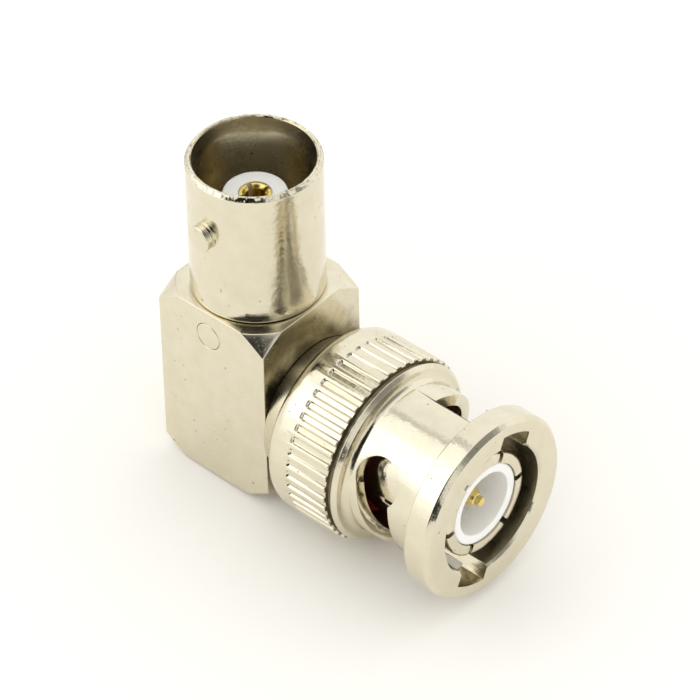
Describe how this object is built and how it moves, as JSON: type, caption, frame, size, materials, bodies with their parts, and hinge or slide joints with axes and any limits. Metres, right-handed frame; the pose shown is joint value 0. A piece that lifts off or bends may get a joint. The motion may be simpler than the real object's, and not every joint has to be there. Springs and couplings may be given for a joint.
{
  "type": "right-angle coaxial adapter",
  "caption": "Right-angle coaxial adapter: a bayonet jack on a square metal block, and a bayonet plug with a turning coupling nut at its side.",
  "frame": {"origin": "centre of the block's base face, straight under the jack's axis", "axes": "+Z along the jack's axis, out of its mouth; +X along the plug's axis, out of its front"},
  "size_m": [0.0269, 0.0142, 0.0271],
  "materials": {
    "plated_brass": "bright nickel plate over machined brass",
    "gilt_bronze": "gold plate over machined bronze",
    "gilt_brass": "gold plate over machined brass",
    "ptfe": "turned white PTFE",
    "silicone": "moulded red silicone rubber",
    "spring_bronze": "rolled phosphor bronze strip"
  },
  "bodies": {
    "adapter": {"body_block": "plated_brass", "barrel_dowel": "plated_brass", "jack_barrel": "plated_brass", "jack_insulator": "ptfe", "jack_contact": "gilt_bronze", "plug_shell": "plated_brass", "plug_insulator": "ptfe", "plug_pin": "gilt_brass", "gasket": "silicone", "snap_ring": "spring_bronze", "wave_washer": "spring_bronze"},
    "nut_carriage": {"thrust_washer": "spring_bronze"},
    "nut": {"coupling_nut": "plated_brass"}
  },
  "joints": [
    {"name": "nut_pull", "type": "slide", "parent": "adapter", "child": "nut_carriage", "axis": [1, 0, 0], "range_m": [0, 0.0005], "stiffness_N_per_m": 8000, "deforming": ["wave_washer"]},
    {"name": "nut_turn", "type": "hinge", "parent": "nut_carriage", "child": "nut", "pos_m": [0.0084, 0, 0.00655], "axis": [1, 0, 0], "continuous": true}
  ]
}
